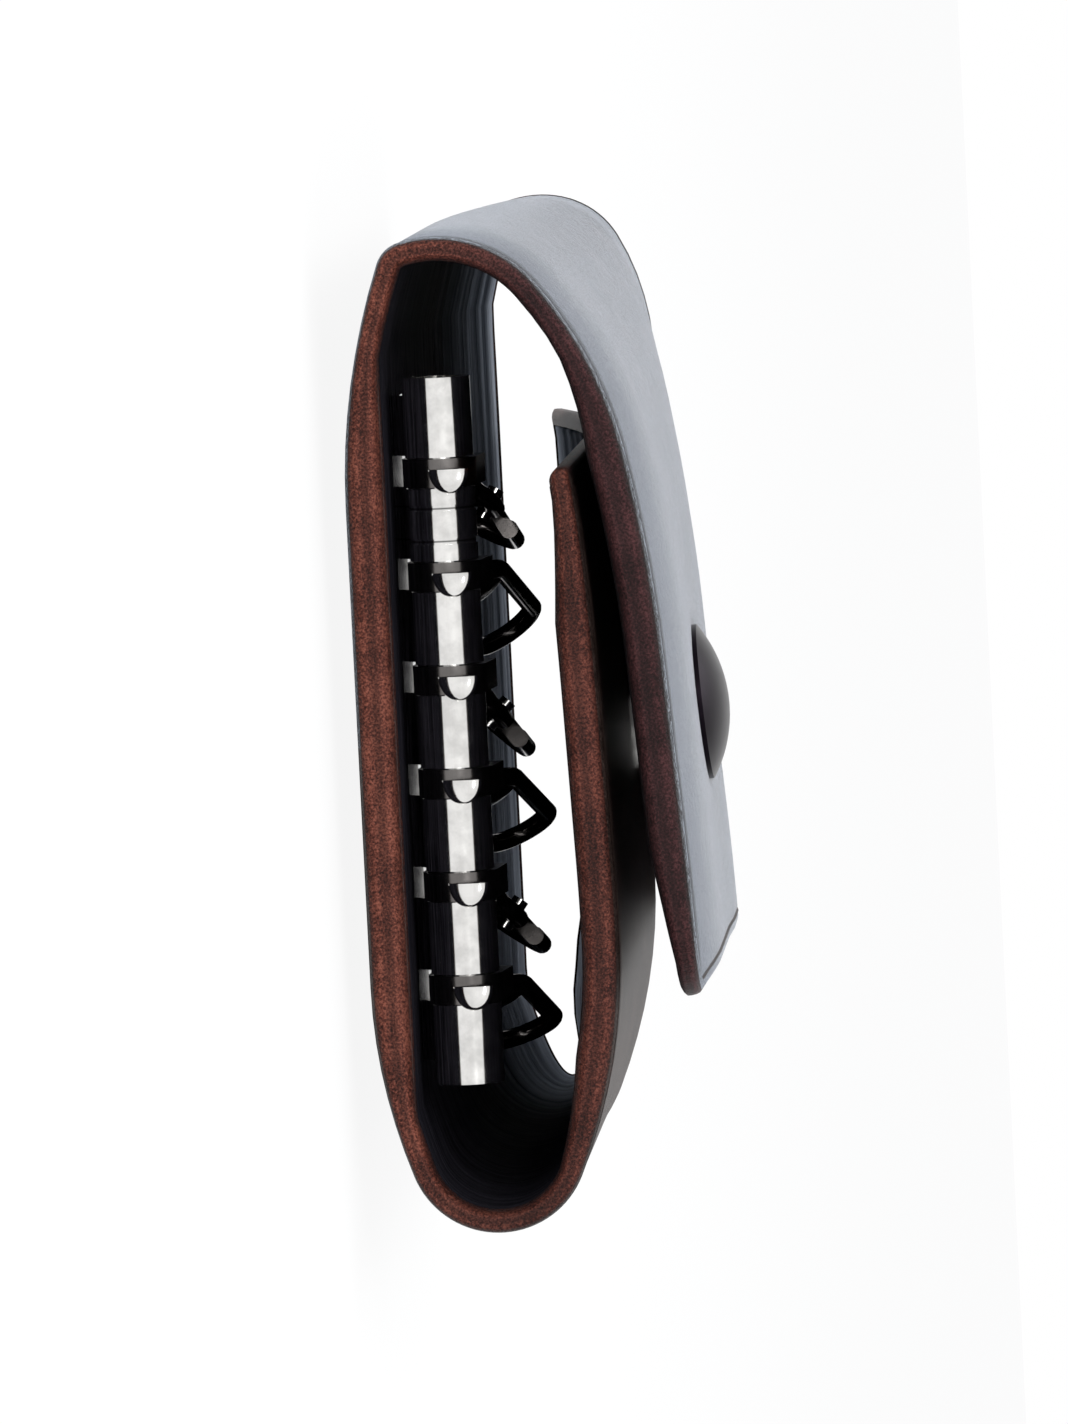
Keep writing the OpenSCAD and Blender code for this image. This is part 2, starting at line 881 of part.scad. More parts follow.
module hook_body(i) {
    color(gunmetal)
        on_hook(i)
            difference() {
                union() {
                    linear_extrude(hook_t, center = true)
                        hook_outline();
                    translate([0, collar_from, 0])
                        rotate([-90, 0, 0])
                            cylinder(d = collar_d, h = collar_length);
                }
                translate([0, collar_from - cut, 0])
                    rotate([-90, 0, 0])
                        cylinder(d = swivel_d, h = collar_length + cut);
                // the slot that takes the gate's root, and the bore of its pin
                translate([
                    gate_pin_x - gate_eye_d / 2 - gate_fit,
                    gate_pin_y - gate_eye_d / 2 - gate_fit,
                    -gate_slot_t / 2
                ])
                    cube([gate_eye_d + cut, gate_slot_length, gate_slot_t]);
                translate([gate_pin_x, gate_pin_y, 0])
                    cylinder(d = gate_pin_d, h = hook_t + cut, center = true);
            }
}

// A leaf with a small eye at its root; it closes the mouth against the inside of the nose
module gate(i) {
    leaf_x = loop_bore_r - gate_t - gate_fit;
    color(nickel)
        on_hook(i)
            difference() {
                union() {
                    linear_extrude(gate_eye_t, center = true)
                        union() {
                            translate([gate_pin_x, gate_pin_y])
                                circle(d = gate_eye_d);
                            polygon([
                                [gate_pin_x - gate_eye_d / 2, gate_pin_y],
                                [gate_pin_x, gate_pin_y],
                                [leaf_x + gate_t, gate_pin_y + gate_eye_d],
                                [leaf_x, gate_pin_y + gate_eye_d]
                            ]);
                        }
                    translate([leaf_x, gate_pin_y + gate_eye_d - gate_t, -hook_t / 2])
                        cube([gate_t, nose_from + nose_length / 2 - gate_pin_y - gate_eye_d + gate_t, hook_t]);
                }
                translate([gate_pin_x, gate_pin_y, 0])
                    cylinder(d = gate_pin_d + 2 * gate_pin_fit, h = hook_t, center = true);
            }
}

module gate_pin(i) {
    color(nickel)
        on_hook(i)
            translate([gate_pin_x, gate_pin_y, 0])
                union() {
                    cylinder(d = gate_pin_d, h = hook_t, center = true);
                    for (side = [-1, 1])
                        translate([0, 0, side * (hook_t + gate_pin_head_t) / 2])
                            cylinder(d = gate_pin_head_d, h = gate_pin_head_t, center = true);
                }
}

back_cover();
back_board();
back_lining();
spine_cover();
spine_lining();
flap_cover();
flap_board();
flap_lining();
front_cover();
front_board();
front_lining();
row_plate();
row_axle();
row_rivets();
row_washers();
snap_cap();
snap_socket();
snap_spring();
snap_stud();
snap_eyelet();
eye(1);  // eye_1
eye(2);  // eye_2
eye(3);  // eye_3
eye(4);  // eye_4
eye(5);  // eye_5
eye(6);  // eye_6
swivel(1);  // swivel_1
swivel(2);  // swivel_2
swivel(3);  // swivel_3
swivel(4);  // swivel_4
swivel(5);  // swivel_5
swivel(6);  // swivel_6
hook_body(1);  // hook_1
hook_body(2);  // hook_2
hook_body(3);  // hook_3
hook_body(4);  // hook_4
hook_body(5);  // hook_5
hook_body(6);  // hook_6
gate(1);  // gate_1
gate(2);  // gate_2
gate(3);  // gate_3
gate(4);  // gate_4
gate(5);  // gate_5
gate(6);  // gate_6
gate_pin(1);  // gate_pin_1
gate_pin(2);  // gate_pin_2
gate_pin(3);  // gate_pin_3
gate_pin(4);  // gate_pin_4
gate_pin(5);  // gate_pin_5
gate_pin(6);  // gate_pin_6
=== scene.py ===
import math

import bmesh
import bpy
from mathutils import Matrix, Vector


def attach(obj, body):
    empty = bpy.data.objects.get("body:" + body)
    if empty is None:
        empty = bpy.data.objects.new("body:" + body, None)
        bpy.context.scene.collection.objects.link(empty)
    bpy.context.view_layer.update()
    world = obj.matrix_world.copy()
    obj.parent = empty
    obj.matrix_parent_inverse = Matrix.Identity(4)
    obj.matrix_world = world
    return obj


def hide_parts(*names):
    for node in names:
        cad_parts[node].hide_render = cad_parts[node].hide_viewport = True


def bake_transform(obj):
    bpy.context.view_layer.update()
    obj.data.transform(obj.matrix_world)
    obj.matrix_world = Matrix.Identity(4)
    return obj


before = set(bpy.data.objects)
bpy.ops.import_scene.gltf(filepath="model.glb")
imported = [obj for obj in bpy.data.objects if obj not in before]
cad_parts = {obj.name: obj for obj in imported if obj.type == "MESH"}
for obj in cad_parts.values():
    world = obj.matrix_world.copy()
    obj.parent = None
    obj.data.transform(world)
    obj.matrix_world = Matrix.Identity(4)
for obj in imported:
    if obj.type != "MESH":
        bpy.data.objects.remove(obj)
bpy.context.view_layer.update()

# The camera looks into the open end that holds the key row, from a little beyond the flap and the top fold.
# It is rolled so that the top fold is up in the picture, with the case leaning a little.
view_distance = 0.95
seen_height = 0.109
sensor_mm = 36
lean = math.radians(2.9)
aim = Vector((-0.0017, -0.0525, 0.0136))
beside_flap = 0.05
beside_top_fold = 0.0721
picture_right = Vector((math.sin(lean), 0, math.cos(lean)))
picture_up = Vector((-math.cos(lean), 0, math.sin(lean)))
forward = (Vector((0, 1, 0)) - beside_flap * picture_right - beside_top_fold * picture_up).normalized()
picture_up = (picture_up - picture_up.dot(forward) * forward).normalized()
picture_right = forward.cross(picture_up)
camera_data = bpy.data.cameras.new("camera")
camera_data.sensor_width = sensor_mm
camera_data.lens = sensor_mm * view_distance / seen_height
camera_data.clip_start = 0.01
camera = bpy.data.objects.new("camera", camera_data)
bpy.context.collection.objects.link(camera)
camera_turn = Matrix((picture_right, picture_up, -forward)).transposed().to_4x4()
camera.matrix_world = Matrix.Translation(aim - view_distance * forward) @ camera_turn
bpy.context.scene.camera = camera
bpy.context.scene.view_settings.view_transform = "Standard"


# The stage is a white table and white studio walls, with a broad and a small lamp behind the camera and a
# broad one over the flap. The camera and polished metal see plain white behind the case. The table lies a
# little under the case, because the flap's middle comes lower than the back when it's open.
def shader(material):
    """The material's node tree with its main shader, found or made."""
    material.use_nodes = True
    tree = material.node_tree
    return tree, tree.nodes.get("Principled BSDF")


def backdrop_white(tree, lit, whiteness):
    """The lit shader, mixed with plain white for the camera, for reflections and for glass."""
    rays = tree.nodes.new("ShaderNodeLightPath")
    seen = tree.nodes.new("ShaderNodeMath")
    seen.operation = "MAXIMUM"
    tree.links.new(rays.outputs["Is Camera Ray"], seen.inputs[0])
    tree.links.new(rays.outputs["Is Glossy Ray"], seen.inputs[1])
    either = tree.nodes.new("ShaderNodeMath")
    either.operation = "MAXIMUM"
    tree.links.new(seen.outputs[0], either.inputs[0])
    tree.links.new(rays.outputs["Is Transmission Ray"], either.inputs[1])
    share = tree.nodes.new("ShaderNodeMath")
    share.operation = "MULTIPLY"
    share.inputs[1].default_value = whiteness
    tree.links.new(either.outputs[0], share.inputs[0])
    white = tree.nodes.new("ShaderNodeEmission" if lit.type != "BACKGROUND" else "ShaderNodeBackground")
    mix = tree.nodes.new("ShaderNodeMixShader")
    tree.links.new(share.outputs[0], mix.inputs[0])
    tree.links.new(lit.outputs[0], mix.inputs[1])
    tree.links.new(white.outputs[0], mix.inputs[2])
    white.inputs["Color"].default_value = (1, 1, 1, 1)
    white.inputs["Strength"].default_value = 1
    return mix


studio = bpy.data.worlds.new("studio")
bpy.context.scene.world = studio
studio.use_nodes = True
walls = studio.node_tree.nodes["Background"]
walls.inputs["Color"].default_value = (0.95, 0.97, 1, 1)
walls.inputs["Strength"].default_value = 0.75
whole = backdrop_white(studio.node_tree, walls, 1)
studio.node_tree.links.new(whole.outputs[0], studio.node_tree.nodes["World Output"].inputs["Surface"])

under_open_flap = -0.0021
table_size = 6
bpy.ops.mesh.primitive_plane_add(size=table_size, location=(0, 0, under_open_flap))
table = bpy.context.object
table.name = "table"
table_white = bpy.data.materials.new("table_white")
tree, paint = shader(table_white)
paint.inputs["Base Color"].default_value = (0.9, 0.9, 0.9, 1)
paint.inputs["Roughness"].default_value = 0.9
paint.inputs["Specular IOR Level"].default_value = 0.1
lit_table = backdrop_white(tree, paint, 0.9)
tree.links.new(lit_table.outputs[0], tree.nodes["Material Output"].inputs["Surface"])
table.data.materials.append(table_white)


def lamp(name, stands_at, aim_at, size, watts):
    data = bpy.data.lights.new(name, "AREA")
    data.size = size
    data.energy = watts
    made = bpy.data.objects.new(name, data)
    bpy.context.collection.objects.link(made)
    made.location = stands_at
    made.rotation_euler = (Vector(aim_at) - Vector(stands_at)).to_track_quat("-Z", "Y").to_euler()


lamp("front_lamp", stands_at=(-0.35, -1.1, 0.45), aim_at=(0, 0, 0.01), size=0.5, watts=7)
lamp("flap_lamp", stands_at=(-0.3, 0.2, 0.9), aim_at=(0, 0, 0.02), size=0.6, watts=4)
lamp("small_lamp", stands_at=(0.25, -0.9, 0.35), aim_at=(0, 0, 0.01), size=0.07, watts=1)


# The case is one strip of brown leather, folded three times. Each panel is a thin board wrapped in
# leather, which is turned in over the edges and glued, so every edge is a rounded band with a creased
# line beside it.
case_length = 0.105
fold_t = 0.0017
back_t = 0.0029
board_t = 0.001
paring = 0.009
edge_hem = 0.003
flap_corner_r = 0.007
snap_land = 0.014


def arc(radius, turn):
    return radius * math.radians(turn), turn


# length along the outer face and degrees turned, from the flap's free edge to the front panel's
flap_end = (0.0125, 2)
flap_land = (snap_land, 0)
flap_reach = (0.0165, 8)
shoulder = arc(0.031, 27)
crown = arc(0.00989, 65)
corner = arc(0.0025, 56)
back_top = arc(0.054, 20)
back_flat = (0.037, 0)
back_foot = arc(0.043, 20)
bottom = arc(0.0069, 136)
front_rise = arc(0.043, 24)
front_foot = (0.0065, 2)
front_land = (snap_land, 0)
front_end = (0.0165, 5)
flap_stretches = [flap_end, flap_land, flap_reach, shoulder, crown, corner]
back_stretches = [back_top, back_flat, back_foot]
front_stretches = [bottom, front_rise, front_foot, front_land, front_end]
stretches = flap_stretches + back_stretches + front_stretches


def walk(x, z, heading, length, turn):
    """Where a walk of this length and turn ends, and the heading there, in radians."""
    if turn == 0:
        return x + length * math.cos(heading), z + length * math.sin(heading), heading
    radius = length / turn
    after = heading + turn
    across = radius * (math.sin(after) - math.sin(heading))
    up = radius * (math.cos(heading) - math.cos(after))
    return x + across, z + up, after


turns_before_back = [turn for length, turn in stretches[:stretches.index(back_flat)]]
first_heading = -math.radians(sum(turns_before_back))
stations = [(0, 0, 0, first_heading)]
for length, turn in stretches:
    along, x, z, heading = stations[-1]
    stations.append((along + length, *walk(x, z, heading, length, math.radians(turn))))
strip_end = stations[-1][0]


def start_of(stretch):
    return stations[stretches.index(stretch)][0]


def raw_place(s):
    """The outer face's x, z and heading at this distance along the strip, before the strip is centred."""
    i = max(0, min(len(stretches) - 1, sum(station[0] <= s for station in stations) - 1))
    along, x, z, heading = stations[i]
    length, turn = stretches[i]
    share = (s - along) / length
    return walk(x, z, heading, share * length, share * math.radians(turn))


sample_count = 4000
sampled = [raw_place(strip_end * i / sample_count) for i in range(sample_count + 1)]
middle_x = (min(p[0] for p in sampled) + max(p[0] for p in sampled)) / 2
back_z = stations[stretches.index(back_flat)][2]


def place(s):
    x, z, heading = raw_place(s)
    return x - middle_x, z - back_z, heading


corner_s = start_of(corner) + corner[0] / 2
quarter_turn = 90
bottom_s = start_of(bottom) + bottom[0] * quarter_turn / bottom[1]
shoulder_s = start_of(crown)


def pared(s, start, end):
    """The share of its full thickness that a board has here: it is pared to nothing at both ends."""
    return max(0, min(1, (s - start) / paring, (end - s) / paring))


def leather_t(s):
    """The whole thickness of the leather at this distance along the strip."""
    steepest_back = 1
    x, z, heading = place(s)
    if s < shoulder_s:
        return fold_t + board_t * pared(s, edge_hem, start_of(shoulder) + paring)
    if s < bottom_s:
        on_back = s > corner_s and abs(heading) < steepest_back
        flat_t = (back_t - z) / math.cos(heading) if on_back else 0
        return max(fold_t, flat_t)
    return fold_t + board_t * pared(s, start_of(front_rise), strip_end - edge_hem)


def edited_mesh():
    """The mesh in edit mode, with nothing selected."""
    mesh = bmesh.from_edit_mesh(bpy.context.edit_object.data)
    for item in list(mesh.verts) + list(mesh.edges) + list(mesh.faces):
        item.select = False
    return mesh


def select(test):
    """In edit mode, selects just the faces that the test picks."""
    mesh = edited_mesh()
    for face in mesh.faces:
        if test(face):
            face.select_set(True)
    bmesh.update_edit_mesh(bpy.context.edit_object.data)


def select_edges(test):
    """In edit mode, selects just the edges that the test picks, by their two ends."""
    mesh = edited_mesh()
    for edge in mesh.edges:
        if test(edge.verts[0].co, edge.verts[1].co):
            edge.select_set(True)
    bmesh.update_edit_mesh(bpy.context.edit_object.data)


def cut_rows(xs, ys):
    """In edit mode, cuts the whole mesh across at each x and y."""
    for x in xs:
        bpy.ops.mesh.select_all(action="SELECT")
        bpy.ops.mesh.bisect(plane_co=(x, 0, 0), plane_no=(1, 0, 0))
    for y in ys:
        bpy.ops.mesh.select_all(action="SELECT")
        bpy.ops.mesh.bisect(plane_co=(0, y, 0), plane_no=(0, 1, 0))


def marks(start, end):
    """The distances at which the strip bends or swells, between two ends."""
    most_degrees = 4
    longest_step = 0.0025
    beside_end = 0.0002
    found = []
    for (length, turn), station in zip(stretches, stations):
        steps = max(1, math.ceil(turn / most_degrees), math.ceil(length / longest_step))
        found += [station[0] + length * k / steps for k in range(steps)]
    clear = 2 * beside_end
    inside = [s for s in found if start + clear < s < end - clear]
    return sorted([start + beside_end, end - beside_end] + inside)


cut_count = 14
cut_places = [case_length * k / cut_count for k in range(1 - cut_count // 2, cut_count // 2)]
nearly = 1e-6
squarely = 0.9


def faces_up(face):
    return face.normal.z > squarely


def faces_down(face):
    return face.normal.z < -squarely


def flat_slab(name, start, end, width, thickness, height):
    """A flat box along the strip, with its middle at this height. It's left in edit mode."""
    bpy.ops.object.select_all(action="DESELECT")
    bpy.ops.mesh.primitive_cube_add(size=1)
    piece = bpy.context.object
    piece.name = name
    bpy.ops.object.mode_set(mode="EDIT")
    bpy.ops.transform.resize(value=(end - start, width, thickness))
    bpy.ops.transform.translate(value=((start + end) / 2, 0, height))
    return piece


def open_seams(start, end):
    """In edit mode, deletes the faces at the ends of a stretch where the next piece carries on."""
    seams = [s for s in (start, end) if 0 < s < strip_end]
    select(lambda face: any(all(abs(v.co.x - s) < nearly for v in face.verts) for s in seams))
    bpy.ops.mesh.delete(type="FACE")


def round_corners(s, corner_r):
    """In edit mode, rounds the two upright edges at this end of a flat stretch."""
    def upright_here(a, b):
        return abs(a.x - s) < nearly and abs(b.x - s) < nearly and abs(a.y - b.y) < nearly
    select_edges(upright_here)
    bpy.ops.mesh.bevel(offset=corner_r, segments=10, affect="EDGES")


def inset_chain(steps):
    """In edit mode, insets the selected face step by step: how far it sets back and how far it rises."""
    for setback, rise in steps:
        bpy.ops.mesh.inset(thickness=setback, depth=rise, use_boundary=False)


def turned_panel(name, start, end, corner_r):
    """A flat stretch of the wrapped leather, with its outer face down, open where the next piece starts.
    A belt stands for the edge's crest. Insets step back from it to the outer face and to the inner one."""
    belt = 0.00025
    crest = 0.00095
    towards_inner = [(0.0001, 0.00012), (0.0002, 0.00018), (0.0003, 0.00015)]
    inner_level = [(0.0002, 0.00005), (0.00035, 0)]
    raised_lip = [(0.00008, 0.00007), (0.00008, -0.0003)]
    towards_outer = [(0.00005, 0.00035), (0.00012, 0.0003), (0.00025, 0.0002), (0.00035, 0.0001)]
    crease = [(0.0003, 0), (0.0001, 0.00006), (0.00008, -0.0002), (0.00012, 0), (0.00015, 0.00014)]
    piece = flat_slab(name, start, end, case_length, belt, crest + belt / 2)
    if corner_r:
        round_corners(start, corner_r)
    open_seams(start, end)
    select(faces_up)
    inset_chain(towards_inner + inner_level + raised_lip)
    select(faces_down)
    inset_chain(towards_outer + crease)
    cut_rows(marks(start, end), cut_places)
    bpy.ops.object.mode_set(mode="OBJECT")
    across = piece.data.attributes.new("across", "FLOAT", "POINT")
    for vertex in piece.data.vertices:
        across.data[vertex.index].value = vertex.co.z / fold_t
    outer_level = 0.00015
    outer_slope = -0.5
    for face in piece.data.polygons:
        on_outer_face = face.center.z < outer_level and face.normal.z < outer_slope
        face.material_index = 0 if on_outer_face else 1
    return piece


def smooth_share(value, start, end):
    """0 before the start, 1 past the end, and a soft step between them."""
    share = max(0, min(1, (value - start) / (end - start)))
    return share * share * (3 - 2 * share)


def late_share(y, start):
    """0 up to this place along the case, growing evenly steeper to 1 at its far end."""
    return max(0, (y - start) / (case_length / 2 - start)) ** 2


def settled(s, y):
    """How far the soft leather stands above its even fold: the hardware holds the near end open, and past
    the press stud the flap and the front panel settle towards the back panel, whose far end curls up a
    little. Between its near end and the stud the flap swells, but for a dimple round the stud."""
    far_curl = 0.0035
    curl_side = -0.005
    flap_fall = 0.0105
    front_fall = 0.0085
    stud_side = 0.007
    near_side = -0.05
    swelling = 0.0006
    dimple_r = 0.011
    flap_falls_over = 0.05
    swells_over = 0.03
    front_falls_over = 0.022
    stud_s = start_of(flap_land) + snap_land / 2
    curl = far_curl * late_share(y, curl_side)
    if s < corner_s:
        fallen = flap_fall * smooth_share(corner_s - s, 0, flap_falls_over) * late_share(y, stud_side)
        beside_stud = 1 - math.exp(-((s - stud_s) ** 2 + y ** 2) / dimple_r ** 2)
        past_near_side = smooth_share(y, near_side, near_side + swells_over)
        off_corner = smooth_share(corner_s - s, 0, swells_over)
        return curl - fallen + swelling * beside_stud * past_near_side * off_corner
    if s < start_of(bottom):
        return curl
    share = smooth_share(s, start_of(bottom), start_of(bottom) + front_falls_over)
    return curl - front_fall * share * late_share(y, stud_side)


def fold(piece, depth):
    """Folds a flat piece: x becomes the distance along the strip, and z the depth under the outer face."""
    for vertex in piece.data.vertices:
        s, y, z = vertex.co
        x, height, heading = place(s)
        d = depth(s, z)
        vertex.co = (x - d * math.sin(heading), y, height + d * math.cos(heading) + settled(s, y))
    piece.data.update()


def choose(piece):
    """Makes this the one selected object."""
    bpy.ops.object.select_all(action="DESELECT")
    piece.select_set(True)
    bpy.context.view_layer.objects.active = piece


crown_s = (start_of(crown) + start_of(corner)) / 2
back_s = start_of(back_flat) + back_flat[0] / 2
flap_leather = turned_panel("flap_leather", 0, crown_s, flap_corner_r)
back_leather = turned_panel("back_leather", crown_s, back_s, 0)
front_leather = turned_panel("front_leather", back_s, strip_end, 0)
for piece in (flap_leather, back_leather, front_leather):
    fold(piece, lambda s, z: z * leather_t(s) / fold_t)
    choose(piece)
    bpy.ops.object.shade_smooth()


def noise_texture(tree, coordinates, scale, detail, roughness=0.5):
    node = tree.nodes.new("ShaderNodeTexNoise")
    node.inputs["Scale"].default_value = scale
    node.inputs["Detail"].default_value = detail
    node.inputs["Roughness"].default_value = roughness
    tree.links.new(coordinates, node.inputs["Vector"])
    return node.outputs["Fac"]


def ramp(tree, value, stops):
    node = tree.nodes.new("ShaderNodeValToRGB")
    tree.links.new(value, node.inputs["Fac"])
    while len(node.color_ramp.elements) < len(stops):
        node.color_ramp.elements.new(0.5)
    for element, (position, colour) in zip(node.color_ramp.elements, stops):
        element.position = position
        element.color = (*colour, 1)
    return node.outputs["Color"]


def bump(tree, heights, strength, distance, under=None):
    node = tree.nodes.new("ShaderNodeBump")
    node.inputs["Strength"].default_value = strength
    node.inputs["Distance"].default_value = distance
    tree.links.new(heights, node.inputs["Height"])
    if under is not None:
        tree.links.new(under, node.inputs["Normal"])
    return node.outputs["Normal"]


def share_along(tree, coordinates, axis, start, end):
    """0 up to the start and 1 past the end of a stretch along one axis of the case."""
    parts = tree.nodes.new("ShaderNodeSeparateXYZ")
    tree.links.new(coordinates, parts.inputs["Vector"])
    share = tree.nodes.new("ShaderNodeMapRange")
    share.interpolation_type = "SMOOTHSTEP"
    share.inputs["From Min"].default_value = start
    share.inputs["From Max"].default_value = end
    tree.links.new(parts.outputs[axis], share.inputs["Value"])
    return share.outputs["Result"]


def colour_mix(tree, share, blend_type):
    """A node that mixes two colours by a share: its two colour inputs and its colour output."""
    node = tree.nodes.new("ShaderNodeMix")
    node.data_type = "RGBA"
    node.blend_type = blend_type
    tree.links.new(share, node.inputs["Factor"])
    first, second = [socket for socket in node.inputs if socket.type == "RGBA"]
    mixed = [socket for socket in node.outputs if socket.type == "RGBA"][0]
    return first, second, mixed


def darkened(tree, colour, share, darker):
    """The colour, multiplied by a darker one where the share is 1."""
    first, second, mixed = colour_mix(tree, share, "MULTIPLY")
    tree.links.new(colour, first)
    second.default_value = (*darker, 1)
    return mixed


def multiplied(tree, colour, light):
    node = tree.nodes.new("ShaderNodeVectorMath")
    node.operation = "MULTIPLY"
    tree.links.new(colour, node.inputs[0])
    tree.links.new(light, node.inputs[1])
    return node.outputs["Vector"]


def leather(name, shades, sheen, grain, speckle_scale, painted_shade_stretches=(), painted_light_across=()):
    """Smooth leather with a fine dark speckle, whose nap shows pale where it's seen aslant. It's darker
    along
    the stretches of painted shade: axis, start, end and darker share of each. The painted light across an
    edge is a list of shares of painted highlight and shade, from its outer side to its inner one, that also
    stand out in relief."""
    made = bpy.data.materials.new(name)
    tree, hide = shader(made)
    place_on_case = tree.nodes.new("ShaderNodeTexCoord").outputs["Object"]
    clouds = noise_texture(tree, place_on_case, scale=260, detail=2)
    speckle = noise_texture(tree, place_on_case, speckle_scale, detail=3, roughness=0.7)
    speckle_share = 0.75
    least_shine = 0.1
    mixed = tree.nodes.new("ShaderNodeMix")
    mixed.inputs["Factor"].default_value = speckle_share
    tree.links.new(clouds, mixed.inputs["A"])
    tree.links.new(speckle, mixed.inputs["B"])
    dark_to_pale = (0.38, 0.5, 0.62)
    colour = ramp(tree, mixed.outputs["Result"], list(zip(dark_to_pale, shades)))
    for axis, start, end, darker in painted_shade_stretches:
        colour = darkened(tree, colour, share_along(tree, place_on_case, axis, start, end), darker)
    relief = bump(tree, speckle, grain, distance=0.00025)
    if painted_light_across:
        across = tree.nodes.new("ShaderNodeAttribute")
        across.attribute_name = "across"
        greys = [(share, (level, level, level)) for share, level in painted_light_across]
        light = ramp(tree, across.outputs["Fac"], greys)
        colour = multiplied(tree, colour, light)
        relief = bump(tree, light, strength=0.5, distance=0.0001, under=relief)
    tree.links.new(colour, hide.inputs["Base Color"])
    hide.inputs["Roughness"].default_value = 0.4
    hide.inputs["Specular IOR Level"].default_value = least_shine + sheen
    hide.inputs["Sheen Weight"].default_value = sheen
    hide.inputs["Sheen Roughness"].default_value = 0.3
    hide.inputs["Sheen Tint"].default_value = (0.8, 0.88, 1, 1)
    tree.links.new(relief, hide.inputs["Normal"])
    return made


outer_shades = [(0.006, 0.004, 0.004), (0.035, 0.026, 0.025), (0.13, 0.108, 0.11)]
# The front panel's outer face lies under the flap, so its leather gets darker shades and no sheen: painted
# shade.
painted_shade_shades = [(0.004, 0.003, 0.003), (0.02, 0.012, 0.01), (0.06, 0.04, 0.035)]
edge_shades = [(0.02, 0.005, 0.003), (0.11, 0.03, 0.02), (0.27, 0.085, 0.055)]
# Painted highlight and shade across an edge band, from its outer side to its inner one: dark margins, two
# lit ridges and the groove between them.
outer_ridge_painted_light = [(0.05, 0.3), (0.16, 0.75), (0.3, 1), (0.45, 0.55)]
inner_ridge_painted_light = [(0.58, 0.5), (0.72, 0.95), (0.86, 0.7), (1, 0.25)]
edge_painted_light = outer_ridge_painted_light + inner_ridge_painted_light
# Painted shade: the edge bands darken higher up towards the flap, and towards the bottom fold.
edge_painted_shade = [("Z", 0.004, 0.016, (0.27, 0.3, 0.48)), ("X", 0.03, 0.045, (0.12, 0.12, 0.15))]
near_edge = ("Y", -0.018, -0.05)
# Painted shade: the outer face's colour darkens towards its near edge.
near_edge_painted_shade = [(*near_edge, (0.1, 0.07, 0.07))]
coarse = 1900
fine = 5200
outer_look = {"sheen": 0.6, "grain": 1, "speckle_scale": coarse}
edge_look = {"sheen": 0.02, "grain": 0.6, "speckle_scale": fine, "painted_light_across": edge_painted_light}
painted_shade_look = {"sheen": 0, "grain": 0.4, "speckle_scale": fine}
outer_leather = leather("outer_leather", outer_shades, painted_shade_stretches=near_edge_painted_shade, **outer_look)
edge_leather = leather("edge_leather", edge_shades, painted_shade_stretches=edge_painted_shade, **edge_look)
# Painted shade: the front panel's edge band darkens where it runs under the flap.
painted_shade_under_flap = ("Z", 0.006, 0.014, (0.62, 0.6, 0.62))
front_edge_painted_shade = [painted_shade_under_flap, edge_painted_shade[1]]
front_edge_leather = leather("front_edge_leather", edge_shades, painted_shade_stretches=front_edge_painted_shade, **edge_look)
painted_shade_leather = leather("painted_shade_leather", painted_shade_shades, **painted_shade_look)

# the outer face is rubbed smooth, but for its duller near edge
rubbed_roughness = 0.38
dull_roughness = 0.85
tree, hide = shader(outer_leather)
place_on_case = tree.nodes.new("ShaderNodeTexCoord").outputs["Object"]
rubbed = tree.nodes.new("ShaderNodeMapRange")
rubbed.inputs["To Min"].default_value = rubbed_roughness
rubbed.inputs["To Max"].default_value = dull_roughness
tree.links.new(share_along(tree, place_on_case, *near_edge), rubbed.inputs["Value"])
tree.links.new(rubbed.outputs["Result"], hide.inputs["Roughness"])
# The front panel's outer face takes the painted-shade leather.
for piece in (flap_leather, back_leather, front_leather):
    on_front = piece == front_leather
    piece.data.materials.append(painted_shade_leather if on_front else outer_leather)
    piece.data.materials.append(front_edge_leather if on_front else edge_leather)
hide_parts("flap_cover", "flap_board")
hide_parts("back_cover", "back_board", "spine_cover")
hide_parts("front_cover", "front_board")


def bend_with_case(flap_piece, back_piece, front_piece):
    """The three pieces of one layer, with their placing baked into their meshes."""
    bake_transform(flap_piece)
    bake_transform(back_piece)
    x, z, heading = place(bottom_s)
    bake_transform(front_piece)


bend_with_case(flap_leather, back_leather, front_leather)

# The lining is thin black leather, glued inside the turned edges over the whole strip. Fine ribs run in
# it from fold to fold, and its far end is painted pale: a painted reflection of the light at the open far
# end.
lining_inset = 0.00135
sunk_in_edge = 0.00012


def lining_panel(name, start, end, corner_r):
    """A flat stretch of the lining, with its seen face up near height 0 and that face's edge rounded."""
    lining_t = 0.00025
    rounded_edge = [(0.00004, 0.00005), (0.00008, 0.00003), (0.0002, 0)]
    first = start + (lining_inset if start == 0 else 0)
    last = end - (lining_inset if end == strip_end else 0)
    width = case_length - 2 * lining_inset
    piece = flat_slab(name, first, last, width, lining_t, -lining_t / 2)
    if corner_r:
        round_corners(first, corner_r - lining_inset)
    open_seams(start, end)
    select(faces_up)
    inset_chain(rounded_edge)
    cut_rows(marks(start, end), cut_places)
    bpy.ops.object.mode_set(mode="OBJECT")
    return piece


